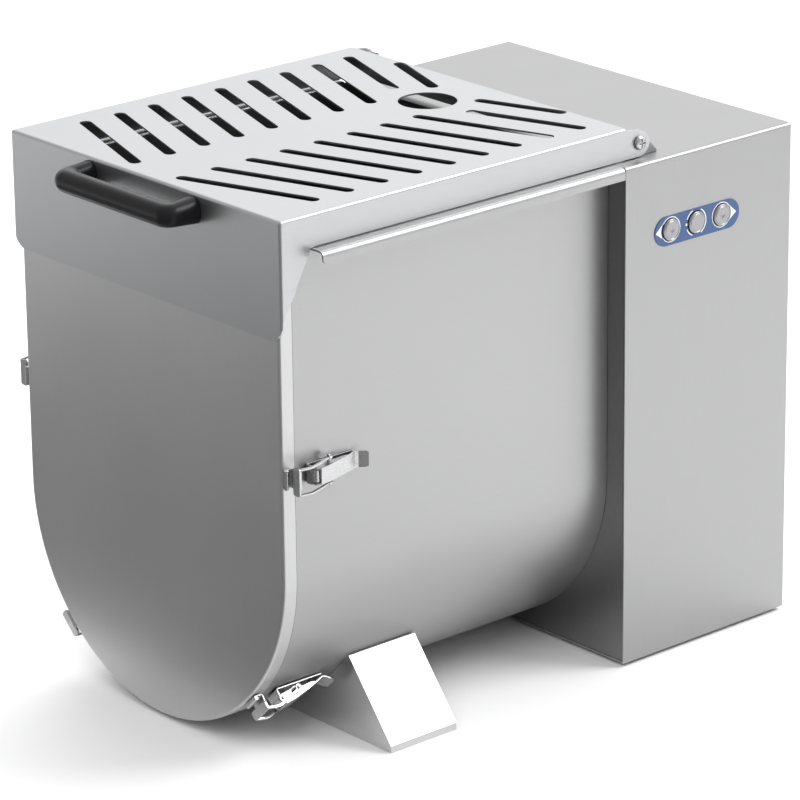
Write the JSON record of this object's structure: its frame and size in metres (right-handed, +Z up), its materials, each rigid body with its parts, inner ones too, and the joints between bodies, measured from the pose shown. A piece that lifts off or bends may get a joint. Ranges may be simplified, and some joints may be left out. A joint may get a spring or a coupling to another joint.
{
  "type": "meat mixer",
  "caption": "Bench-top stainless meat mixer: U-shaped trough with slotted hinged lid, latched end panel, saddle foot and a drive housing with push buttons.",
  "frame": {"origin": "bottom centre of the bounding box, on the bench", "axes": "+X from the lid handle end towards the drive housing, +Y away from the control label, +Z up"},
  "size_m": [0.606, 0.3828, 0.4785],
  "materials": {
    "brushed_sheet": "satin brushed stainless sheet",
    "bright_steel": "polished stainless",
    "black_plastic": "satin black moulded plastic",
    "rubber": "black rubber",
    "nylon": "natural nylon",
    "machined_steel": "machined steel",
    "cast_iron": "cast, as turned",
    "motor_paint": "grey machine enamel",
    "label_blue": "printed polyester label",
    "capacitor_can": "plain aluminium can"
  },
  "bodies": {
    "frame": {"trough": "brushed_sheet", "end_panel": "brushed_sheet", "housing_wrap": "brushed_sheet", "bulkhead": "brushed_sheet", "rear_cover": "brushed_sheet", "base_plate": "brushed_sheet", "saddle_foot": "brushed_sheet", "hinge_bracket_near": "bright_steel", "hinge_bracket_far": "bright_steel", "hinge_screw_near": "bright_steel", "hinge_screw_far": "bright_steel", "latch_base_upper_near": "bright_steel", "latch_base_upper_far": "bright_steel", "latch_base_lower_near": "bright_steel", "latch_base_lower_far": "bright_steel", "latch_keeper_upper_near": "bright_steel", "latch_keeper_upper_far": "bright_steel", "latch_keeper_lower_near": "bright_steel", "latch_keeper_lower_far": "bright_steel", "cable_gland": "black_plastic", "switch_forward": "black_plastic", "switch_stop": "black_plastic", "switch_reverse": "black_plastic", "contactor": "black_plastic", "panel_gasket": "rubber", "shaft_seal": "rubber", "rubber_foot_front_near": "rubber", "rubber_foot_front_far": "rubber", "rubber_foot_rear_near": "rubber", "rubber_foot_rear_far": "rubber", "panel_bush": "nylon", "bearing_housing": "cast_iron", "gearbox": "motor_paint", "motor": "motor_paint", "control_label": "label_blue", "capacitor": "capacitor_can"},
    "lid": {"lid": "brushed_sheet", "lid_handle": "black_plastic", "handle_screw_near": "bright_steel", "handle_screw_far": "bright_steel"},
    "mixer": {"mixing_shaft": "bright_steel", "drive_shaft": "machined_steel", "main_gear": "machined_steel"},
    "pinion": {"pinion": "machined_steel"},
    "button_forward": {"button_forward": "bright_steel"},
    "button_stop": {"button_stop": "bright_steel"},
    "button_reverse": {"button_reverse": "bright_steel"},
    "lever_upper_near": {"latch_lever_upper_near": "bright_steel"},
    "bail_upper_near": {"latch_bail_upper_near": "bright_steel"},
    "lever_upper_far": {"latch_lever_upper_far": "bright_steel"},
    "bail_upper_far": {"latch_bail_upper_far": "bright_steel"},
    "lever_lower_near": {"latch_lever_lower_near": "bright_steel"},
    "bail_lower_near": {"latch_bail_lower_near": "bright_steel"},
    "lever_lower_far": {"latch_lever_lower_far": "bright_steel"},
    "bail_lower_far": {"latch_bail_lower_far": "bright_steel"}
  },
  "joints": [
    {"name": "lid_hinge", "type": "hinge", "parent": "frame", "child": "lid", "pos_m": [0.124, 0.0025, 0.463], "axis": [0, 1, 0], "range_deg": [0, 105]},
    {"name": "mixer_spin", "type": "hinge", "parent": "frame", "child": "mixer", "pos_m": [0.095, 0.0025, 0.1722], "axis": [1, 0, 0], "continuous": true},
    {"name": "pinion_spin", "type": "hinge", "parent": "frame", "child": "pinion", "pos_m": [0.155, 0.0025, 0.2597], "axis": [1, 0, 0], "continuous": true},
    {"name": "forward_press", "type": "slide", "parent": "frame", "child": "button_forward", "axis": [0, 1, 0], "range_m": [0, 0.0025], "stiffness_N_per_m": 800},
    {"name": "stop_press", "type": "slide", "parent": "frame", "child": "button_stop", "axis": [0, 1, 0], "range_m": [0, 0.0025], "stiffness_N_per_m": 800},
    {"name": "reverse_press", "type": "slide", "parent": "frame", "child": "button_reverse", "axis": [0, 1, 0], "range_m": [0, 0.0025], "stiffness_N_per_m": 800},
    {"name": "lever_upper_near_turn", "type": "hinge", "parent": "frame", "child": "lever_upper_near", "pos_m": [-0.237, -0.1763, 0.26], "axis": [0, 0, -1], "range_deg": [0, 120]},
    {"name": "bail_upper_near_turn", "type": "hinge", "parent": "lever_upper_near", "child": "bail_upper_near", "pos_m": [-0.221, -0.1733, 0.26], "axis": [0, 0, -1], "range_deg": [-120, 0]},
    {"name": "lever_upper_far_turn", "type": "hinge", "parent": "frame", "child": "lever_upper_far", "pos_m": [-0.237, 0.1813, 0.26], "axis": [0, 0, 1], "range_deg": [0, 120]},
    {"name": "bail_upper_far_turn", "type": "hinge", "parent": "lever_upper_far", "child": "bail_upper_far", "pos_m": [-0.221, 0.1783, 0.26], "axis": [0, 0, 1], "range_deg": [-120, 0]},
    {"name": "lever_lower_near_turn", "type": "hinge", "parent": "frame", "child": "lever_lower_near", "pos_m": [-0.237, -0.12393, 0.04577], "axis": [0, 0.7071, -0.7071], "range_deg": [0, 120]},
    {"name": "bail_lower_near_turn", "type": "hinge", "parent": "lever_lower_near", "child": "bail_lower_near", "pos_m": [-0.221, -0.12181, 0.04789], "axis": [0, 0.7071, -0.7071], "range_deg": [-120, 0]},
    {"name": "lever_lower_far_turn", "type": "hinge", "parent": "frame", "child": "lever_lower_far", "pos_m": [-0.237, 0.12893, 0.04577], "axis": [0, 0.7071, 0.7071], "range_deg": [0, 120]},
    {"name": "bail_lower_far_turn", "type": "hinge", "parent": "lever_lower_far", "child": "bail_lower_far", "pos_m": [-0.221, 0.12681, 0.04789], "axis": [0, 0.7071, 0.7071], "range_deg": [-120, 0]}
  ],
  "couplings": [
    {"joint": "pinion_spin", "follows": "mixer_spin", "ratio": -4},
    {"joint": "bail_upper_near_turn", "follows": "lever_upper_near_turn", "ratio": -1},
    {"joint": "bail_upper_far_turn", "follows": "lever_upper_far_turn", "ratio": -1},
    {"joint": "bail_lower_near_turn", "follows": "lever_lower_near_turn", "ratio": -1},
    {"joint": "bail_lower_far_turn", "follows": "lever_lower_far_turn", "ratio": -1}
  ]
}
